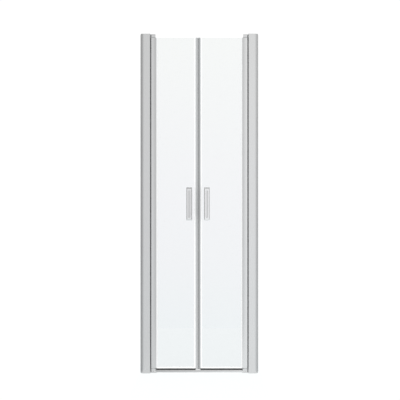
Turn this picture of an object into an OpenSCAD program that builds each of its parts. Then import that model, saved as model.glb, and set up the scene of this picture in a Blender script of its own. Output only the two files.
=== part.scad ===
// Two-leaf swing door for a shower niche, seen from the front, which is -Y.
// The origin is on the tray, in the middle between the walls, on the glass plane.
// Sections of one side are drawn with the wall at x = 0, then placed left or mirrored right.

/* [Opening] */
// Width between the two walls
opening_w = 697; // [620:1:900]
// Height from the tray to the top of the columns
door_h = 2000; // [1750:10:2200]
// Distance of the meeting line from the middle, minus to the left
meeting_offset = -7.5; // [-20:0.5:20]

/* [Columns] */
// Width of a column, seen from the front
column_w = 58; // [50:1:80]
// Depth of a column, front to back
column_d = 50; // [46:1:70]
// Wall thickness of the column extrusion
column_t = 1.8; // [1.4:0.1:2.4]
// Joint between the wall and the column
column_gap = 1; // [0.5:0.1:3]
// Radius of the two corners beside the wall
column_wall_r = 22; // [12:1:22]
// Radius of the two corners beside the leaf
column_leaf_r = 3; // [3:0.5:8]
// Bore radius of the screw ports for the end brackets
port_bore_r = 1.9; // [1.5:0.1:2.4]
// Wall thickness round a screw port
port_t = 2.2; // [1.6:0.1:2.6]
// Distance of the leaf-side screw ports from the leaf-side face
port_inset = 12; // [10:0.5:16]
// How far channels and gap seals stop short of the end plates
end_clear = 1; // [0.5:0.5:5]

/* [Wall profiles] */
// Outer width of the channel that is screwed to the wall
channel_w = 16; // [13:0.5:20]
// How far the channel reaches out from the wall
channel_reach = 32; // [28:1:42]
// Wall thickness of the channel
channel_t = 2; // [1.5:0.1:3]
// Sliding clearance between the channel and the column's guide ribs
channel_clear = 0.4; // [0.2:0.1:0.8]
// Radius of the wall screw holes
wall_hole_r = 3.25; // [2:0.25:4]
// Distance of the outermost wall screw holes from the ends of the door
wall_hole_end = 200; // [120:10:400]
// Wall screw holes in a channel
wall_hole_count = 4; // [2:1:6]

/* [Column screws] */
// Shank radius of the screws that join column and channel
clamp_screw_r = 2.1; // [1.5:0.1:2.5]
// Head radius of these screws
clamp_head_r = 4; // [3:0.25:4.5]
// Head height of these screws
clamp_head_h = 2.4; // [1.5:0.1:3]
// Distance of these screws from the wall
clamp_inset = 24; // [21:0.5:26]
// Distance of the end screws from the ends of the door
clamp_end = 150; // [60:10:400]
// How far the screw tips stand out inside the channel
clamp_tip = 2; // [0.5:0.5:4]
// Wall thickness of the push-on covers
cover_t = 1.6; // [1:0.1:2.5]
// Radial air between a screw head and its cover
cover_clear = 0.2; // [0.1:0.05:0.5]

/* [Brackets and pivots] */
// Thickness of the end plates
plate_t = 5; // [4:0.5:8]
// How far the bosses that hold the pivot pins stand in from the round edge and the faces of a leaf
boss_inset = 0.5; // [0.25:0.25:3]
// How far the top boss reaches past the pivot axis
top_boss_reach = 11; // [8:0.5:14]
// Height of the bosses
boss_h = 14; // [8:0.5:20]
// Height of the neck under the bottom boss
neck_h = 6; // [3:0.5:10]
// Radius of the pivot pins
pin_r = 4; // [3:0.25:4.5]
// How far a pin reaches into the leaf
pin_reach = 24; // [15:1:26]
// Radial running clearance of a pin in its bush
pin_clear = 0.05; // [0.02:0.01:0.1]
// Wall thickness of the bushes
bush_t = 2; // [1.5:0.1:2.5]
// Thickness of the washer that carries the leaf
washer_t = 1; // [1:0.1:4]
// Radius of that washer
washer_r = 9.5; // [8.5:0.5:10.5]
// Air between the leaf and the top boss
top_gap = 1; // [1:0.25:4]
// Shank length of the bracket screws below their heads
bracket_screw_l = 20; // [12:1:40]
// Head radius of the bracket screws
bracket_head_r = 4; // [3:0.25:4.5]
// Width across the corners of the hexagon sockets in all these screws
socket_w = 2.9; // [2:0.1:3.2]
// Depth of the hexagon sockets
socket_deep = 1.5; // [1:0.1:2]

/* [Leaves] */
// Gap between a column and the round edge of its leaf
side_gap = 1.5; // [1:0.1:6]
// Radius of the round edge of the leaf profile, about the pivot axis
knuckle_r = 17.5; // [15:0.5:20]
// Depth of the leaf profile at its thickest
leaf_d = 23.4; // [20:0.2:26]
// Distance from the thickest place to the pivot axis
crest_x = 10; // [0:0.5:12]
// Distance from the pivot to the nose of the leaf profile
nose_reach = 16.5; // [16:0.5:30]
// Thickness of the nose
nose_t = 10.6; // [10:0.1:14]
// Wall thickness round the cavity of the leaf profile
profile_t = 2.5; // [1.6:0.1:3]
// Wall between the cavity and the glass slot
slot_web = 1.5; // [1:0.1:2.5]
// Depth of the glass slot
glass_bite = 8; // [7:0.5:10]
// Thickness of the glass
glass_t = 6; // [4:0.5:6]
// Thickness of the glazing gasket
gasket_t = 1; // [0.5:0.1:1.2]
// How far the gasket's lips reach out over the glass
gasket_lip_w = 7; // [2:0.5:10]
// Thickness of these lips at their tips
gasket_lip_t = 0.4; // [0.2:0.1:0.5]
// Thickness of the end plug's flange
flange_t = 2; // [1:0.25:4]
// Length of the end plug inside the profile
plug_l = 28; // [27:1:50]

/* [Seals] */
// Gap between the two meeting seals
meeting_gap = 2.4; // [1:0.1:4]
// Air between the two magnet bars, which stand out into that gap
magnet_gap = 0.4; // [0.2:0.1:0.8]
// Width of a meeting seal, seen from the front
seal_w = 12.75; // [10:0.25:20]
// Depth of a meeting seal
seal_d = 14; // [12:0.5:20]
// Wall thickness of the meeting seal
seal_t = 1.5; // [1.2:0.1:2]
// Thickness of the magnet bar
magnet_t = 4; // [2:0.25:5]
// How far the magnet bar stops short of the ends of its seal
magnet_short = 2; // [0.5:0.5:10]
// Air between the meeting seals and the threshold bar
seal_lift = 5; // [1:0.5:10]
// Thickness of the clear clips
clip_t = 0.8; // [0.6:0.1:1.6]
// How far the clear clips grip the glass
clip_grip = 8.5; // [5:0.5:12]
// Air between the drip lip and the threshold bar
lip_clear = 1.6; // [0.5:0.1:3]
// Thickness of the drip lip's blade
lip_t = 3; // [1.5:0.25:5]
// Height of the drip lip's head
lip_head_h = 3; // [2:0.25:4]
// Thickness of the gap seal where it leaves the column
gap_seal_t = 6; // [4:0.5:10]
// Thickness of the gap seal's tip
gap_tip_t = 2; // [1:0.25:3]
// Thickness of the gap seal's neck in the column's groove
gap_neck_t = 3; // [2:0.25:3.5]
// Thickness of the gap seal's foot in the column's groove
gap_foot_t = 1.5; // [1:0.1:2.5]
// Air between the gap seal and the leaf
gap_seal_clear = 0.4; // [0.3:0.1:1]

/* [Handles] */
// Height of a handle
handle_h = 194; // [140:2:400]
// Width of a handle
handle_w = 33; // [28:1:40]
// Distance from the glass to the outer face of the handle
handle_reach = 45; // [38:1:60]
// Thickness of the handle's grip plate
grip_t = 10; // [8:0.5:14]
// Height of each leg of the handle
leg_h = 15; // [12:0.5:24]
// Radius of the handle's outer corners, seen from the side
handle_side_r = 12; // [6:0.5:16]
// Radius of the finger gap's corners
handle_gap_r = 8; // [4:0.5:10]
// Radius of the long edges of the grip
handle_edge_r = 6; // [3:0.5:7]
// Width of the flute in the grip
flute_w = 12; // [6:0.5:14]
// Depth of the flute
flute_deep = 2.6; // [1:0.1:4]
// Distance of the flute from the handle's ends
flute_end = 16; // [12:0.5:30]
// Height of the middle of the handles
handle_z = 998; // [850:2:1100]
// Distance of the handles from the meeting line
handle_offset = 52; // [48:1:90]
// Radius of the threaded studs through the glass
stud_r = 2.5; // [2:0.25:3]
// How far a stud reaches into a leg
stud_reach = 16; // [8:1:24]
// Radius of the holes in the glass
glass_hole_r = 6; // [5:0.5:7]
// Thickness of the washers between glass and handle
foot_t = 1; // [0.5:0.1:2]
// Radius of these washers
foot_r = 7; // [7:0.25:7.5]

/* [Threshold] */
// Height of the top of the threshold bar
bar_top = 14; // [10:0.5:14]
// Depth of the threshold bar
bar_d = 16; // [12:0.5:20]
// Wall thickness of the threshold bar
bar_t = 1.8; // [1.2:0.1:2.5]
// Bevel along the top edges of the bar
bar_bevel = 2; // [1:0.25:3]
// Height of the sealing strip under the bar
strip_h = 3; // [1:0.25:4]
// How far the strip's long edges stand in from the bar's
strip_inset = 1; // [0:0.25:2]
// Air between the bottom bosses and the ends of the bar, the drip clips and the drip lips
bar_clear = 0.5; // [0.5:0.25:3]

/* [Hidden] */
$fn = 96;

LEFT = -1;
RIGHT = 1;
// Extra length of a cutter past the face that it opens
over = 1;

// Radius of the bosses' round edge about the pivot axis, and their half depth
boss_r = knuckle_r - boss_inset;
boss_y = leaf_d / 2 - boss_inset;

// Places along the width of one side, measured from the wall
column_x0 = column_gap;
column_x1 = column_x0 + column_w;
groove_x0 = column_x1 - column_t - gap_foot_t;
pivot_x = column_x1 + side_gap + knuckle_r;
nose_x = pivot_x + nose_reach;
slot_x0 = nose_x - glass_bite;
cavity_x1 = slot_x0 - slot_web;
glass_x0 = slot_x0 + gasket_t;
// Where the drip clip and its lip begin, clear of the bottom boss as they swing
lip_x0 = max(nose_x, pivot_x + boss_r + bar_clear);

// Heights
column_z0 = plate_t;
column_z1 = door_h - plate_t;
boss_z0 = plate_t + neck_h;
boss_z1 = boss_z0 + boss_h;
leaf_z0 = boss_z1 + washer_t;
top_boss_z0 = door_h - plate_t - boss_h;
leaf_z1 = top_boss_z0 - top_gap;
lip_z0 = bar_top + lip_clear;
seal_z0 = bar_top + seal_lift;
// Heights of the screws that join column and channel
clamp_heights = [clamp_end, door_h / 2, door_h - clamp_end];

// Half thicknesses and radii that several pieces share
glass_y = glass_t / 2;
slot_y = glass_y + gasket_t;
clip_y = glass_y + clip_t;
guide_y = channel_w / 2 + channel_clear;
bush_bore_r = pin_r + pin_clear;
bush_r = bush_bore_r + bush_t;
port_r = port_bore_r + port_t;
foot_y = glass_y + foot_t;
leg_z = handle_h / 2 - leg_h / 2;
// How far a magnet bar stands out of its seal
magnet_proud = (meeting_gap - magnet_gap) / 2;
// Width, drop and radius of the bow in each face of the leaf profile, from its crest to its nose
bow_w = crest_x + nose_reach;
bow_drop = (leaf_d - nose_t) / 2;
bow_r = (bow_w * bow_w + bow_drop * bow_drop) / (2 * bow_drop);

// Chamfer on the corners of the meeting seals
small_chamfer = 1;
// Air between the two halves of a handle bush, in the middle of the glass
bush_split = 0.2;
// How far the sides of a bracket's tongue stand in from the faces of its boss
tongue_inset = 0.5;
// How far the neck under the bottom boss stands in from the boss, and reaches past the pivot axis
neck_inset = 1;
neck_past_axis = 1;

// Screw port centres of one column, front ones; the back ones mirror them
port_wall_c = [column_x0 + column_wall_r, column_d / 2 - column_wall_r];
port_diag = (column_wall_r - column_t - port_bore_r - port_t / 2) * sqrt(0.5);
port_spots = [
    [port_wall_c[0] - port_diag, port_wall_c[1] + port_diag],
    [column_x1 - port_inset, column_d / 2 - column_t - port_bore_r - port_t / 2]
];

// Distance from a side's wall to the meeting face of its leaf
function meeting_x(side) = opening_w / 2 - side * meeting_offset - meeting_gap / 2;
// Where the glass of a side ends under its clear clip
function glass_x1(side) = meeting_x(side) - seal_w - clip_t;
// Distance from a side's wall to the middle of its handles
function handle_x(side) = meeting_x(side) + meeting_gap / 2 - handle_offset;
// Heights of the wall screw holes
function wall_hole_z(i) = wall_hole_end + i * (door_h - 2 * wall_hole_end) / (wall_hole_count - 1);

module on_side(side) {
    if (side == LEFT) translate([-opening_w / 2, 0, 0]) children();
    else mirror([1, 0, 0]) translate([-opening_w / 2, 0, 0]) children();
}

// Both the child and its mirror image, front to back
module front_and_back() {
    children();
    mirror([0, 1, 0]) children();
}

module raise(z0, z1) {
    translate([0, 0, z0]) linear_extrude(z1 - z0) children();
}

// A flat rectangle by its limits
module rect(x0, x1, y0, y1) {
    translate([x0, y0]) square([x1 - x0, y1 - y0]);
}

// Outline of a column, with the corners beside the wall and beside the leaf rounded apart
module column_outline(x0, x1, y, wall_r, leaf_r) {
    rect(x0 + wall_r, x1 - leaf_r, -y, y);
    rect(x0, x0 + wall_r, wall_r - y, y - wall_r);
    rect(x1 - leaf_r, x1, leaf_r - y, y - leaf_r);
    for (s = [-1, 1]) {
        translate([x0 + wall_r, s * (y - wall_r)]) circle(wall_r);
        translate([x1 - leaf_r, s * (y - leaf_r)]) circle(leaf_r);
    }
}

module full_column_outline() {
    column_outline(column_x0, column_x1, column_d / 2, column_wall_r, column_leaf_r);
}

module column_section() {
    y = column_d / 2 - column_t;
    difference() {
        intersection() {
            full_column_outline();
            union() {
                difference() {
                    full_column_outline();
                    column_outline(
                        column_x0 + column_t, column_x1 - column_t, y,
                        column_wall_r - column_t, column_leaf_r - column_t
                    );
                }
                // Wall round the groove of the gap seal
                rect(groove_x0 - column_t, column_x1, -gap_neck_t - column_t, gap_neck_t + column_t);
                for (s = [-1, 1]) {
                    // Guide rib beside the wall channel
                    translate([0, s * (guide_y + column_t / 2)])
                        rect(column_x0, channel_reach + column_t, -column_t / 2, column_t / 2);
                    for (p = port_spots) translate([p[0], s * p[1]]) circle(port_r);
                }
            }
        }
        rect(column_x0 - over, column_x0 + column_t + over, -guide_y, guide_y);
        gap_seal_foot();
        rect(column_x1, column_x1 + over, -gap_neck_t / 2, gap_neck_t / 2);
        for (s = [-1, 1], p = port_spots) translate([p[0], s * p[1]]) circle(port_bore_r);
    }
}

// Foot and neck of the gap seal, which fill the groove in the column
module gap_seal_foot() {
    rect(groove_x0, column_x1 - column_t, -gap_neck_t, gap_neck_t);
    rect(groove_x0, column_x1, -gap_neck_t / 2, gap_neck_t / 2);
}

// A leaf profile's section, drawn in by inset, with a round edge about the pivot and two bowed faces
module leaf_shape(inset, x1) {
    translate([pivot_x, 0]) difference() {
        intersection() {
            translate([-crest_x, bow_r - leaf_d / 2]) circle(bow_r - inset);
            translate([-crest_x, leaf_d / 2 - bow_r]) circle(bow_r - inset);
            rect(-knuckle_r - over, x1, -leaf_d, leaf_d);
        }
        difference() {
            rect(-knuckle_r - 2 * over, 0, -leaf_d, leaf_d);
            circle(knuckle_r - inset);
        }
    }
}

module leaf_outline() {
    leaf_shape(0, nose_reach);
}

module leaf_cavity() {
    leaf_shape(profile_t, cavity_x1 - pivot_x);
}

module glass_slot() {
    rect(slot_x0, nose_x + over, -slot_y, slot_y);
}

// A hexagon socket, sunk from z = 0 upwards
module socket() {
    translate([0, 0, -over]) cylinder(h = socket_deep + over, d = socket_w, $fn = 6);
}

// A countersunk screw with its head on z = 0 and its shank above
module countersunk(head_r, shank_r, length) {
    difference() {
        union() {
            cylinder(h = length, r = shank_r);
            cylinder(h = head_r - shank_r, r1 = head_r, r2 = shank_r);
        }
        socket();
    }
}

// A boss's section, drawn in by inset, round towards the column and flat in front and behind
module boss_outline(inset, reach) {
    translate([pivot_x, 0]) intersection() {
        circle(boss_r - inset);
        rect(-boss_r - over, reach, inset - boss_y, boss_y - inset);
    }
}

// End bracket with its plate on z = 0 and its boss above, which reaches past the pivot axis
module bracket(neck, reach) {
    difference() {
        union() {
            linear_extrude(plate_t) {
                full_column_outline();
                rect(column_x1 - column_w / 2, pivot_x, tongue_inset - boss_y, boss_y - tongue_inset);
                boss_outline(0, reach);
            }
            if (neck > 0) raise(plate_t, plate_t + neck) boss_outline(neck_inset, neck_past_axis);
            raise(plate_t + neck, plate_t + neck + boss_h) boss_outline(0, reach);
        }
        translate([pivot_x, 0, plate_t + neck]) cylinder(h = boss_h + over, r = pin_r);
        for (s = [-1, 1], p = port_spots) translate([p[0], s * p[1], 0]) {
            cylinder(h = bracket_head_r - port_bore_r, r1 = bracket_head_r, r2 = port_bore_r);
            translate([0, 0, -over]) cylinder(h = plate_t + 2 * over, r = port_bore_r);
        }
    }
}

// Turns what stands on z = 0 upside down under the top of the door
module at_top() {
    translate([0, 0, door_h]) mirror([0, 0, 1]) children();
}

module wall_profile() {
    color("silver") difference() {
        raise(column_z0 + end_clear, column_z1 - end_clear) {
            rect(0, channel_t, -channel_w / 2, channel_w / 2);
            for (s = [-1, 1]) translate([0, s * (channel_w - channel_t) / 2])
                rect(0, channel_reach, -channel_t / 2, channel_t / 2);
        }
        for (i = [0 : wall_hole_count - 1]) translate([-over, 0, wall_hole_z(i)])
            rotate([0, 90, 0]) cylinder(h = channel_t + 2 * over, r = wall_hole_r);
        clamp_shanks();
    }
}

// The shanks of the clamp screws, which also drill the pieces that they pass
module clamp_shanks() {
    for (z = clamp_heights)
        translate([clamp_inset, channel_w / 2 - channel_t - clamp_tip, z]) rotate([-90, 0, 0])
            cylinder(h = column_d / 2 - channel_w / 2 + channel_t + clamp_tip, r = clamp_screw_r);
}

module column() {
    color("silver") difference() {
        raise(column_z0, column_z1) column_section();
        clamp_shanks();
    }
}

module column_screws() {
    color("gainsboro") difference() {
        union() {
            clamp_shanks();
            for (z = clamp_heights)
                translate([clamp_inset, column_d / 2, z]) rotate([-90, 0, 0])
                    cylinder(h = clamp_head_h, r = clamp_head_r);
        }
        for (z = clamp_heights)
            translate([clamp_inset, column_d / 2 + clamp_head_h, z]) rotate([90, 0, 0]) socket();
    }
}

module screw_covers() {
    inner_r = clamp_head_r + cover_clear;
    outer_r = inner_r + cover_t;
    top = clamp_head_h + cover_t;
    color("silver") for (z = clamp_heights)
        translate([clamp_inset, column_d / 2, z]) rotate([-90, 0, 0]) rotate_extrude() polygon([
            [inner_r, 0], [outer_r, 0], [outer_r, top - cover_t / 2], [outer_r - cover_t / 2, top],
            [0, top], [0, clamp_head_h], [inner_r, clamp_head_h]
        ]);
}

module top_bracket() {
    color("silver") at_top() bracket(0, top_boss_reach);
}

module bottom_bracket() {
    color("silver") bracket(neck_h, boss_r + over);
}

module bracket_screws() {
    color("gainsboro") for (s = [-1, 1], p = port_spots) {
        translate([p[0], s * p[1], 0]) countersunk(bracket_head_r, port_bore_r, bracket_screw_l);
        at_top() translate([p[0], s * p[1], 0])
            countersunk(bracket_head_r, port_bore_r, bracket_screw_l);
    }
}

module pivot_pins() {
    color("gray") translate([pivot_x, 0, 0]) {
        translate([0, 0, boss_z0]) cylinder(h = boss_h + washer_t + pin_reach, r = pin_r);
        translate([0, 0, leaf_z1 - pin_reach]) cylinder(h = pin_reach + top_gap + boss_h, r = pin_r);
    }
}

module thrust_washer() {
    color("white") translate([pivot_x, 0, boss_z1]) difference() {
        cylinder(h = washer_t, r = washer_r);
        translate([0, 0, -over]) cylinder(h = washer_t + 2 * over, r = pin_r);
    }
}

module gap_seal() {
    tip_x = pivot_x - knuckle_r - gap_seal_clear;
    root_y = gap_seal_t / 2;
    tip_y = gap_tip_t / 2;
    color("dimgray") raise(column_z0 + end_clear, column_z1 - end_clear) {
        gap_seal_foot();
        polygon([[column_x1, -root_y], [tip_x, -tip_y], [tip_x, tip_y], [column_x1, root_y]]);
    }
}

module leaf_profile() {
    color("silver") raise(leaf_z0 + flange_t, leaf_z1 - flange_t) difference() {
        leaf_outline();
        leaf_cavity();
        glass_slot();
    }
}

module glazing_gasket() {
    tip_x = nose_x + gasket_lip_w;
    tip_y = glass_y + gasket_lip_t;
    color("whitesmoke") raise(leaf_z0, leaf_z1) difference() {
        polygon([
            [slot_x0, -slot_y], [nose_x, -slot_y], [tip_x, -tip_y],
            [tip_x, tip_y], [nose_x, slot_y], [slot_x0, slot_y]
        ]);
        rect(glass_x0, tip_x + over, -glass_y, glass_y);
    }
}

module glass(side) {
    color("lightcyan", 0.4) difference() {
        raise(leaf_z0, leaf_z1) rect(glass_x0, glass_x1(side), -glass_y, glass_y);
        for (s = [-1, 1]) translate([handle_x(side), -glass_y - over, handle_z + s * leg_z])
            rotate([-90, 0, 0]) cylinder(h = glass_t + 2 * over, r = glass_hole_r);
    }
}

// End plug with its flange on z = 0 and its body above
module plug() {
    color("darkgray") difference() {
        union() {
            linear_extrude(flange_t) difference() {
                leaf_outline();
                glass_slot();
            }
            linear_extrude(flange_t + plug_l) leaf_cavity();
        }
        translate([pivot_x, 0, -over]) cylinder(h = flange_t + plug_l + 2 * over, r = bush_r);
    }
}

module bottom_plug() {
    translate([0, 0, leaf_z0]) plug();
}

module top_plug() {
    translate([0, 0, leaf_z1]) mirror([0, 0, 1]) plug();
}

module pivot_bushes() {
    length = flange_t + plug_l;
    color("white") for (z = [leaf_z0, leaf_z1 - length]) translate([pivot_x, 0, z]) difference() {
        cylinder(h = length, r = bush_r);
        translate([0, 0, -over]) cylinder(h = length + 2 * over, r = bush_bore_r);
    }
}

module drip_clip(side) {
    color("whitesmoke", 0.6) {
        raise(leaf_z0 - clip_t, leaf_z0) rect(lip_x0, meeting_x(side) - seal_w, -clip_y, clip_y);
        raise(leaf_z0 - clip_t, leaf_z0 + clip_grip) front_and_back()
            rect(nose_x + gasket_lip_w, glass_x1(side) - clip_grip, glass_y, clip_y);
    }
}

module drip_lip(side) {
    head_z0 = leaf_z0 - clip_t - lip_head_h;
    color("#404040") translate([lip_x0, 0, 0]) rotate([90, 0, 90])
        linear_extrude(meeting_x(side) - seal_w - lip_x0) {
            rect(-clip_y, clip_y, head_z0, leaf_z0 - clip_t);
            rect(-lip_t / 2, lip_t / 2, lip_z0, leaf_z0 - clip_t);
        }
}

module seal_clip(side) {
    x1 = glass_x1(side);
    color("whitesmoke", 0.6) raise(leaf_z0, leaf_z1) difference() {
        rect(x1 - clip_grip, x1 + clip_t, -clip_y, clip_y);
        rect(x1 - clip_grip - over, x1, -glass_y, glass_y);
    }
}

// The magnet bar's section, in a channel that is open at the meeting face
module magnet_section(side) {
    x1 = meeting_x(side) + magnet_proud;
    rect(x1 - magnet_t, x1, seal_t - seal_d / 2, seal_d / 2 - seal_t);
}

module meeting_seal(side) {
    x0 = meeting_x(side) - seal_w;
    x1 = meeting_x(side);
    y = seal_d / 2;
    color("lightgray") raise(seal_z0, leaf_z1) difference() {
        polygon([
            [x0, small_chamfer - y], [x0 + small_chamfer, -y], [x1 - small_chamfer, -y],
            [x1, small_chamfer - y], [x1, y - small_chamfer], [x1 - small_chamfer, y],
            [x0 + small_chamfer, y], [x0, y - small_chamfer]
        ]);
        magnet_section(side);
        rect(x0 + seal_t, x1 + magnet_proud - magnet_t - seal_t, seal_t - y, y - seal_t);
    }
}

module magnet(side) {
    color("#303030") raise(seal_z0 + magnet_short, leaf_z1 - magnet_short) magnet_section(side);
}

// Outline of a handle from the side, with the glass plane at 0 and the outer face at the left
module handle_side() {
    front = -(glass_y + handle_reach);
    back = front + grip_t;
    top = handle_h / 2;
    gap_top = top - leg_h;
    r = handle_side_r;
    g = handle_gap_r;
    difference() {
        union() {
            rect(front + r, -foot_y, -top, top);
            rect(front, front + r, r - top, top - r);
            for (s = [-1, 1]) translate([front + r, s * (top - r)]) circle(r);
        }
        rect(back + g, over, -gap_top, gap_top);
        rect(back, back + g, g - gap_top, gap_top - g);
        for (s = [-1, 1]) translate([back + g, s * (gap_top - g)]) circle(g);
    }
}

// Outline of a handle from above
module handle_plan() {
    front = -(glass_y + handle_reach);
    w = handle_w / 2;
    r = handle_edge_r;
    rect(-w, w, front + r, 0);
    rect(r - w, w - r, front, front + r);
    for (s = [-1, 1]) translate([s * (w - r), front + r]) circle(r);
}

// The round-ended cutter of the grip's flute
module flute() {
    r = flute_w * flute_w / (8 * flute_deep) + flute_deep / 2;
    z = handle_h / 2 - flute_end - flute_w / 2;
    translate([0, -(glass_y + handle_reach) + flute_deep - r, 0]) {
        cylinder(h = 2 * z, r = r, center = true);
        for (s = [-1, 1]) translate([0, 0, s * z]) sphere(r);
    }
}

module handle(side) {
    color("lightgray") translate([handle_x(side), 0, handle_z]) difference() {
        intersection() {
            translate([-handle_w / 2, 0, 0]) rotate([90, 0, 90]) linear_extrude(handle_w) handle_side();
            linear_extrude(handle_h, center = true) handle_plan();
        }
        flute();
        for (s = [-1, 1]) translate([0, -foot_y - stud_reach, s * leg_z]) rotate([-90, 0, 0])
            cylinder(h = stud_reach + over, r = stud_r);
    }
}

module outer_handle(side) {
    handle(side);
}

module inner_handle(side) {
    mirror([0, 1, 0]) handle(side);
}

// Flanged half bushes that line the glass holes and carry the handles' feet
module handle_bushes(side) {
    color("whitesmoke") for (s = [-1, 1]) translate([handle_x(side), 0, handle_z + s * leg_z])
        front_and_back() rotate([90, 0, 0]) difference() {
            union() {
                translate([0, 0, bush_split / 2]) cylinder(h = glass_y, r = glass_hole_r);
                translate([0, 0, glass_y]) cylinder(h = foot_t, r = foot_r);
            }
            translate([0, 0, -over]) cylinder(h = foot_y + 2 * over, r = stud_r);
        }
}

module handle_studs(side) {
    color("gray") for (s = [-1, 1]) translate([handle_x(side), 0, handle_z + s * leg_z])
        rotate([90, 0, 0]) cylinder(h = 2 * (foot_y + stud_reach), r = stud_r, center = true);
}

// Cuts the bar and its strip round the brackets at both ends
module clear_of_brackets() {
    difference() {
        children();
        for (side = [LEFT, RIGHT]) translate([side * (opening_w / 2 - pivot_x), 0, -over])
            cylinder(h = bar_top + 2 * over, r = boss_r + bar_clear);
    }
}

// A length between the two pivot axes, from a section drawn in depth and height
module between_pivots() {
    length = opening_w - 2 * pivot_x;
    translate([-length / 2, 0, 0]) rotate([90, 0, 90]) linear_extrude(length) children();
}

module threshold_bar() {
    y = bar_d / 2;
    color("silver") clear_of_brackets() between_pivots() difference() {
        polygon([
            [-y, strip_h], [-y, bar_top - bar_bevel], [bar_bevel - y, bar_top],
            [y - bar_bevel, bar_top], [y, bar_top - bar_bevel], [y, strip_h]
        ]);
        rect(bar_t - y, y - bar_t, 0, bar_top - bar_t - bar_bevel);
    }
}

module threshold_strip() {
    color("whitesmoke", 0.7) clear_of_brackets() between_pivots()
        rect(strip_inset - bar_d / 2, bar_d / 2 - strip_inset, 0, strip_h);
}

threshold_bar();
threshold_strip();

on_side(LEFT) wall_profile();  // left_wall_profile
on_side(LEFT) column();  // left_column
on_side(LEFT) column_screws();  // left_column_screws
on_side(LEFT) screw_covers();  // left_screw_covers
on_side(LEFT) top_bracket();  // left_top_bracket
on_side(LEFT) bottom_bracket();  // left_bottom_bracket
on_side(LEFT) bracket_screws();  // left_bracket_screws
on_side(LEFT) pivot_pins();  // left_pivot_pins
on_side(LEFT) thrust_washer();  // left_thrust_washer
on_side(LEFT) gap_seal();  // left_gap_seal
on_side(LEFT) leaf_profile();  // left_leaf_profile
on_side(LEFT) glass(LEFT);  // left_glass
on_side(LEFT) glazing_gasket();  // left_glazing_gasket
on_side(LEFT) top_plug();  // left_top_plug
on_side(LEFT) bottom_plug();  // left_bottom_plug
on_side(LEFT) pivot_bushes();  // left_pivot_bushes
on_side(LEFT) drip_clip(LEFT);  // left_drip_clip
on_side(LEFT) drip_lip(LEFT);  // left_drip_lip
on_side(LEFT) seal_clip(LEFT);  // left_seal_clip
on_side(LEFT) meeting_seal(LEFT);  // left_meeting_seal
on_side(LEFT) magnet(LEFT);  // left_magnet
on_side(LEFT) outer_handle(LEFT);  // left_outer_handle
on_side(LEFT) inner_handle(LEFT);  // left_inner_handle
on_side(LEFT) handle_bushes(LEFT);  // left_handle_bushes
on_side(LEFT) handle_studs(LEFT);  // left_handle_studs

on_side(RIGHT) wall_profile();  // right_wall_profile
on_side(RIGHT) column();  // right_column
on_side(RIGHT) column_screws();  // right_column_screws
on_side(RIGHT) screw_covers();  // right_screw_covers
on_side(RIGHT) top_bracket();  // right_top_bracket
on_side(RIGHT) bottom_bracket();  // right_bottom_bracket
on_side(RIGHT) bracket_screws();  // right_bracket_screws
on_side(RIGHT) pivot_pins();  // right_pivot_pins
on_side(RIGHT) thrust_washer();  // right_thrust_washer
on_side(RIGHT) gap_seal();  // right_gap_seal
on_side(RIGHT) leaf_profile();  // right_leaf_profile
on_side(RIGHT) glass(RIGHT);  // right_glass
on_side(RIGHT) glazing_gasket();  // right_glazing_gasket
on_side(RIGHT) top_plug();  // right_top_plug
on_side(RIGHT) bottom_plug();  // right_bottom_plug
on_side(RIGHT) pivot_bushes();  // right_pivot_bushes
on_side(RIGHT) drip_clip(RIGHT);  // right_drip_clip
on_side(RIGHT) drip_lip(RIGHT);  // right_drip_lip
on_side(RIGHT) seal_clip(RIGHT);  // right_seal_clip
on_side(RIGHT) meeting_seal(RIGHT);  // right_meeting_seal
on_side(RIGHT) magnet(RIGHT);  // right_magnet
on_side(RIGHT) outer_handle(RIGHT);  // right_outer_handle
on_side(RIGHT) inner_handle(RIGHT);  // right_inner_handle
on_side(RIGHT) handle_bushes(RIGHT);  // right_handle_bushes
on_side(RIGHT) handle_studs(RIGHT);  // right_handle_studs
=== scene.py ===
"""Looks of a two-leaf swing door for a shower niche, dressed on its solid pieces."""

import math

import bpy
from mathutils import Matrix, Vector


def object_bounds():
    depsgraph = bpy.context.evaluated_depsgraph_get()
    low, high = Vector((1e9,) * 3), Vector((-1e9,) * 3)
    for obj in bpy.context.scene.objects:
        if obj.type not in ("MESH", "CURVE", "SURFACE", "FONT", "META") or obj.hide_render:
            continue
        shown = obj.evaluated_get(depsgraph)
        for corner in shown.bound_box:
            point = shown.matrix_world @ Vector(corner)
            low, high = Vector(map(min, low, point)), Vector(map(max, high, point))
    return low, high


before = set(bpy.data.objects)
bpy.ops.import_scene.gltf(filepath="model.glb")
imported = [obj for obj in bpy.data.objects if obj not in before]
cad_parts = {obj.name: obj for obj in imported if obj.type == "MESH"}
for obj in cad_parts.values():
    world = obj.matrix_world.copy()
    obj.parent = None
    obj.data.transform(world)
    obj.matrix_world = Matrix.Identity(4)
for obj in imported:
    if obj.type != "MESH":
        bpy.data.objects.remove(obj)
cad_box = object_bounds()

SIDES = ("left", "right")

# The camera stands level in front of the door, whose front plane is drawn at PIXEL_M metres a pixel
PICTURE_W = 400
PIXEL_M = 0.005885
FRONT_Y = -0.025
CAMERA_X = 0.004
CAMERA_Z = 1.0207
LENS_MM = 70
SENSOR_MM = 36


def link(obj):
    bpy.context.scene.collection.objects.link(obj)
    return obj


def make_camera():
    distance = PICTURE_W * PIXEL_M * LENS_MM / SENSOR_MM
    data = bpy.data.cameras.new("camera")
    data.lens = LENS_MM
    data.sensor_width = SENSOR_MM
    camera = link(bpy.data.objects.new("camera", data))
    camera.location = (CAMERA_X, FRONT_Y - distance, CAMERA_Z)
    camera.rotation_euler = (math.radians(90), 0, 0)
    bpy.context.scene.camera = camera


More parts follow.
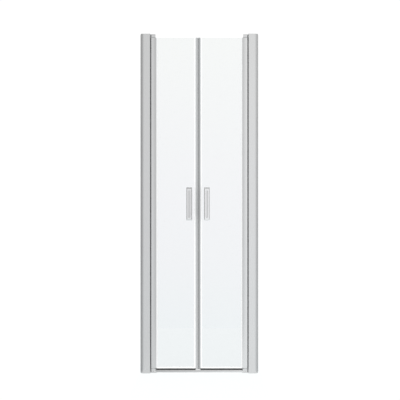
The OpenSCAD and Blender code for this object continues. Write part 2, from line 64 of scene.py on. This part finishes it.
class Nodes:
    """A node tree that is being built."""

    def __init__(self, tree):
        self.tree = tree

    def add(self, kind, **settings):
        node = self.tree.nodes.new(kind)
        for key, value in settings.items():
            setattr(node, key, value)
        return node

    def join(self, out, into):
        self.tree.links.new(out, into)

    def coordinates(self, kind):
        return self.add("ShaderNodeTexCoord").outputs[kind]

    def axis(self, vector, name):
        node = self.add("ShaderNodeSeparateXYZ")
        self.join(vector, node.inputs["Vector"])
        return node.outputs[name]

    def carry(self, value, source, target=(0, 1)):
        """The value, carried from the range source to the range target."""
        node = self.add("ShaderNodeMapRange")
        for socket, end in zip(("From Min", "From Max", "To Min", "To Max"), (*source, *target)):
            node.inputs[socket].default_value = end
        self.join(value, node.inputs["Value"])
        return node.outputs["Result"]

    def ramp(self, value, stops):
        """Colour by a value from 0 to 1, from stops of a place and a colour."""
        node = self.add("ShaderNodeValToRGB")
        while len(node.color_ramp.elements) < len(stops):
            node.color_ramp.elements.new(0.5)
        for stop, (place, colour) in zip(node.color_ramp.elements, stops):
            stop.position = place
            stop.color = (*colour, 1)
        self.join(value, node.inputs["Fac"])
        return node.outputs["Color"]


# The values of a noise between which a tone or a roughness runs from end to end
NOISE_SPAN = (0.3, 0.7)
NOISE_ROUGHNESS = 0.55
BUMP_STRENGTH = 0.5


class Shader(Nodes):
    """The nodes of a new material with a Principled BSDF, whose plain sockets are given by name."""

    def __init__(self, name, **sockets):
        self.material = bpy.data.materials.new(name)
        self.material.use_nodes = True
        super().__init__(self.material.node_tree)
        self.bsdf = self.tree.nodes["Principled BSDF"]
        for socket, value in sockets.items():
            self.bsdf.inputs[socket.replace("_", " ")].default_value = value

    def noise(self, scale, detail):
        """Noise over the piece, with so many waves a metre along each axis."""
        mapping = self.add("ShaderNodeMapping")
        mapping.inputs["Scale"].default_value = scale
        self.join(self.coordinates("Object"), mapping.inputs["Vector"])
        node = self.add("ShaderNodeTexNoise")
        node.inputs["Scale"].default_value = 1.0
        node.inputs["Detail"].default_value = detail
        node.inputs["Roughness"].default_value = NOISE_ROUGHNESS
        self.join(mapping.outputs["Vector"], node.inputs["Vector"])
        return node.outputs["Fac"]

    def tones(self, value, dark, light):
        """Base colour that runs from dark to light over NOISE_SPAN."""
        colours = self.ramp(value, tuple(zip(NOISE_SPAN, (dark, light))))
        self.join(colours, self.bsdf.inputs["Base Color"])

    def fade(self, left, right, reach):
        """Multiplies the base colour by left at x = -reach, up to right at x = reach."""
        base = self.bsdf.inputs["Base Color"]
        x = self.axis(self.coordinates("Object"), "X")
        faded = self.add("ShaderNodeVectorMath", operation="SCALE")
        self.join(base.links[0].from_socket, faded.inputs["Vector"])
        self.join(self.carry(x, (-reach, reach), (left, right)), faded.inputs["Scale"])
        self.join(faded.outputs["Vector"], base)

    def roughen(self, value, low, high):
        self.join(self.carry(value, NOISE_SPAN, (low, high)), self.bsdf.inputs["Roughness"])

    def bump(self, value, depth):
        node = self.add("ShaderNodeBump")
        node.inputs["Distance"].default_value = depth
        node.inputs["Strength"].default_value = BUMP_STRENGTH
        self.join(value, node.inputs["Height"])
        self.join(node.outputs["Normal"], self.bsdf.inputs["Normal"])


def shade(colour, factor):
    return tuple(min(1.0, channel * factor) for channel in colour)


# Waves a metre along each axis: lines have many across the piece and few along it
ALONG_Z = (900, 900, 9)
ALONG_X = (9, 900, 900)
CAST = (700, 700, 700)
TURNED = (1500, 1500, 200)
GRAIN = (2500, 2500, 2500)
FILM = (14, 14, 5)

LINE_DETAIL = 4
GRAIN_DETAIL = 2
FILM_DETAIL = 2
LINE_DEPTH = 0.00002
GRAIN_DEPTH = 0.00001
# How far tone, as a share, and roughness go to both sides of their mean
LINE_TONE, LINE_ROUGHNESS = 0.03, 0.04
GRAIN_TONE, GRAIN_ROUGHNESS = 0.04, 0.03


def metal(name, colour, lines, roughness, fade=None):
    """Satin metal with fine lines, whose tone may fade from left to right as painted light."""
    shader = Shader(name, Metallic=1.0)
    value = shader.noise(lines, LINE_DETAIL)
    shader.tones(value, shade(colour, 1 - LINE_TONE), shade(colour, 1 + LINE_TONE))
    if fade:
        shader.fade(*fade)
    shader.roughen(value, roughness - LINE_ROUGHNESS, roughness + LINE_ROUGHNESS)
    shader.bump(value, LINE_DEPTH)
    return shader.material


def plastic(name, colour, roughness, **sockets):
    """Moulded or extruded plastic or rubber with a fine grain."""
    shader = Shader(name, **sockets)
    value = shader.noise(GRAIN, GRAIN_DETAIL)
    shader.tones(value, shade(colour, 1 - GRAIN_TONE), shade(colour, 1 + GRAIN_TONE))
    shader.roughen(value, roughness - GRAIN_ROUGHNESS, roughness + GRAIN_ROUGHNESS)
    shader.bump(value, GRAIN_DEPTH)
    return shader.material


def glowing_plastic(name, colour, roughness, glow, **sockets):
    """Pale plastic with a painted glow: a little emission stands in for the light that shines through it
    from all round.
    """
    return plastic(name, colour, roughness, Emission_Color=(1, 1, 1, 1), Emission_Strength=glow, **sockets)


GLASS_CLEAR = (0.86, 0.87, 0.875)
GLASS_EDGE = (0.42, 0.68, 0.58)
FILM_ROUGHNESS = 0.012


def glass():
    """Clear glass: nearly colourless through its faces, green in its polished edges."""
    shader = Shader("safety_glass", Transmission_Weight=1.0, IOR=1.5)
    facing = shader.add("ShaderNodeMath", operation="ABSOLUTE")
    shader.join(shader.axis(shader.coordinates("Normal"), "Y"), facing.inputs[0])
    shader.tones(facing.outputs["Value"], GLASS_EDGE, GLASS_CLEAR)
    shader.roughen(shader.noise(FILM, FILM_DETAIL), 0.0, FILM_ROUGHNESS)
    return shader.material


SATIN = (0.61, 0.611, 0.613)
HANDLE_SATIN = (0.70, 0.702, 0.705)
# Painted light: the right half of the door is made a shade lighter than the left, the leaf profiles most,
# because the light falls more strongly on the right
SIDE_LIGHT_TONE = {"left": 1.01, "right": 1.11}
LEAF_LIGHT_TONE = {"left": 0.985, "right": 1.21}
# Painted light: the threshold bar's tone at its left and right end, lighter on the right where the light
# falls more strongly, and how far its ends are from the middle
BAR_LIGHT_FADE = (0.79, 1.16, 0.27)
CLEAR_ALPHA = 0.8


# Lit and shaded copies of the same metals for each side of the door, as painted light
def side_lit_materials(side):
    satin = shade(SATIN, SIDE_LIGHT_TONE[side])
    leaf_satin = shade(SATIN, LEAF_LIGHT_TONE[side])
    handle_satin = shade(HANDLE_SATIN, SIDE_LIGHT_TONE[side])
    return {
        side + "_upright": metal(side + "_satin_aluminium", satin, ALONG_Z, 0.30),
        side + "_leaf_profile": metal(side + "_leaf_aluminium", leaf_satin, ALONG_Z, 0.30),
        side + "_bracket": metal(side + "_cast_bracket", satin, CAST, 0.34),
        side + "_handle": metal(side + "_brushed_handle", handle_satin, ALONG_Z, 0.16),
    }


def make_materials():
    """The materials by their looks, those that differ from side to side in painted light with the side
    before the look.
    """
    return side_lit_materials("left") | side_lit_materials("right") | {
        "threshold_bar": metal("satin_aluminium_bar", SATIN, ALONG_X, 0.2, BAR_LIGHT_FADE),
        "screw": metal("stainless_screw", (0.60, 0.60, 0.60), TURNED, 0.22),
        "screw_covers": plastic("silver_cap", (0.62, 0.63, 0.64), 0.28, Metallic=0.8),
        "nylon": plastic("white_nylon", (0.78, 0.78, 0.75), 0.4),
        "gap_seal": plastic("grey_rubber", (0.22, 0.22, 0.225), 0.55),
        "glass": glass(),
        # Painted glow: the gasket, clips and strip give off a little light of their own
        "glazing_gasket": glowing_plastic("pale_gasket", (0.93, 0.93, 0.93), 0.35, 0.18),
        "plug": plastic("grey_plug", (0.60, 0.605, 0.61), 0.4),
        "clear_clip": glowing_plastic("clear_vinyl", (0.97, 0.97, 0.97), 0.12, 0.3, Alpha=CLEAR_ALPHA),
        "clear_strip": glowing_plastic("clear_strip", (0.90, 0.90, 0.90), 0.2, 0.2, Alpha=CLEAR_ALPHA),
        "drip_lip": plastic("dark_lip", (0.012, 0.012, 0.013), 0.7, Specular_IOR_Level=0.15),
        # Painted light and shade: the two meeting seals are one plastic, made lighter on the left and
        # darker on the right
        "left_meeting_seal": plastic("lit_meeting_seal", (0.67, 0.675, 0.68), 0.3),
        "right_meeting_seal": plastic("dark_meeting_seal", (0.46, 0.465, 0.47), 0.3),
        "magnet": plastic("magnet_strip", (0.012, 0.012, 0.012), 0.8, Specular_IOR_Level=0.2),
    }


# The look of each node by its name without its side, where that isn't the look itself
LOOK = {
    "column_screws": "screw", "bracket_screws": "screw", "pivot_pins": "screw",
    "handle_studs": "screw", "top_bracket": "bracket", "bottom_bracket": "bracket",
    "thrust_washer": "nylon", "pivot_bushes": "nylon", "handle_bushes": "nylon",
    "top_plug": "plug", "bottom_plug": "plug", "drip_clip": "clear_clip",
    "seal_clip": "clear_clip", "threshold_strip": "clear_strip",
    "outer_handle": "handle", "inner_handle": "handle",
    "column": "upright", "wall_profile": "upright",
}


def dress_nodes():
    materials = make_materials()
    for name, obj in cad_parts.items():
        side, _, rest = name.partition("_")
        piece = rest if side in SIDES else name
        look = LOOK.get(piece, piece)
        obj.data.materials.clear()
        obj.data.materials.append(materials.get(side + "_" + look) or materials[look])


# What the floor gives off, besides what it throws back of the studio light
FLOOR_GLOW = (0.917, 0.942, 0.947)
FLOOR_COLOUR = (0.08, 0.08, 0.08)
# How far the floor reaches past each side of the door, and to its front and back
FLOOR_SIDE = 0.02
FLOOR_REACH = 1.6
FLOOR_DROP = 0.0004


def make_floor():
    x = cad_box[1][0] + FLOOR_SIDE
    y = FLOOR_REACH
    mesh = bpy.data.meshes.new("floor")
    mesh.from_pydata([(-x, -y, 0), (x, -y, 0), (x, y, 0), (-x, y, 0)], [], [(0, 1, 2, 3)])
    floor = link(bpy.data.objects.new("floor", mesh))
    floor.location.z = -FLOOR_DROP
    shader = Shader("pale_floor", Roughness=0.9, Base_Color=(*FLOOR_COLOUR, 1),
                    Emission_Color=(*FLOOR_GLOW, 1), Emission_Strength=1.0)
    mesh.materials.append(shader.material)


# Light of the studio in front of the door by the direction's x: strongest just right of the middle,
# with a weaker soft light on the right, and dark at both ends
STUDIO_FRONT = (
    (-1.0, 0.30), (-0.85, 0.62), (-0.65, 0.74), (-0.5, 0.82), (-0.3, 0.90), (-0.1, 0.94),
    (0.07, 1.08), (0.19, 1.06), (0.37, 0.91), (0.5, 0.81), (0.68, 0.88), (0.86, 0.86), (1.0, 0.36),
)
# The same behind the door, even between its dark ends
STUDIO_BEHIND = (
    (-1.0, 0.40), (-0.88, 0.68), (-0.75, 0.96), (-0.3, 1.0),
    (0.3, 1.0), (0.75, 0.96), (0.88, 0.68), (1.0, 0.40),
)
# What both are multiplied by, by the direction's z: cool below, strongest just above the horizon and
# dim overhead
STUDIO_UP = (
    (-1.0, (0.98, 1.02, 1.03)), (-0.2, (0.98, 1.02, 1.03)), (-0.077, (1.02, 1.026, 1.04)),
    (0.0, (1.035, 1.035, 1.05)), (0.2, (1.065, 1.072, 1.06)), (0.4, (0.88, 0.88, 0.88)),
    (0.6, (0.70, 0.70, 0.70)), (1.0, (0.70, 0.70, 0.70)),
)
# The direction's y between which the front passes into the back
STUDIO_TURN = (-0.25, 0.25)
# What the camera sees directly of the studio, which is plain white
STUDIO_SEEN = (1.05, 1.05, 1.05, 1)


class Studio(Nodes):
    """Soft studio surroundings without lamps, whose light depends on the direction."""

    def __init__(self):
        world = bpy.data.worlds.new("studio")
        bpy.context.scene.world = world
        world.use_nodes = True
        super().__init__(world.node_tree)
        self.direction = self.coordinates("Generated")

    def along(self, name, stops):
        """Colours along one axis of the direction, from stops at -1 to 1."""
        value = self.carry(self.axis(self.direction, name), (-1, 1))
        return self.ramp(value, [((place + 1) / 2, colour) for place, colour in stops])

    def greys(self, name, stops):
        return self.along(name, [(place, (tone, tone, tone)) for place, tone in stops])

    def mix(self, factor, first, second, blend_type="MIX"):
        node = self.add("ShaderNodeMix", data_type="RGBA", blend_type=blend_type)
        for socket, value in (("Factor", factor), ("A", first), ("B", second)):
            if isinstance(value, bpy.types.NodeSocket):
                self.join(value, node.inputs[socket])
            else:
                node.inputs[socket].default_value = value
        return node.outputs["Result"]


def make_world():
    studio = Studio()
    behind = studio.carry(studio.axis(studio.direction, "Y"), STUDIO_TURN)
    around = studio.mix(behind, studio.greys("X", STUDIO_FRONT), studio.greys("X", STUDIO_BEHIND))
    light = studio.mix(1.0, around, studio.along("Z", STUDIO_UP), "MULTIPLY")
    seen = studio.add("ShaderNodeLightPath").outputs["Is Camera Ray"]
    shown = studio.mix(seen, light, STUDIO_SEEN)
    studio.join(shown, studio.tree.nodes["Background"].inputs["Color"])
    bpy.context.scene.view_settings.view_transform = "Standard"


make_camera()
make_world()
make_floor()
dress_nodes()
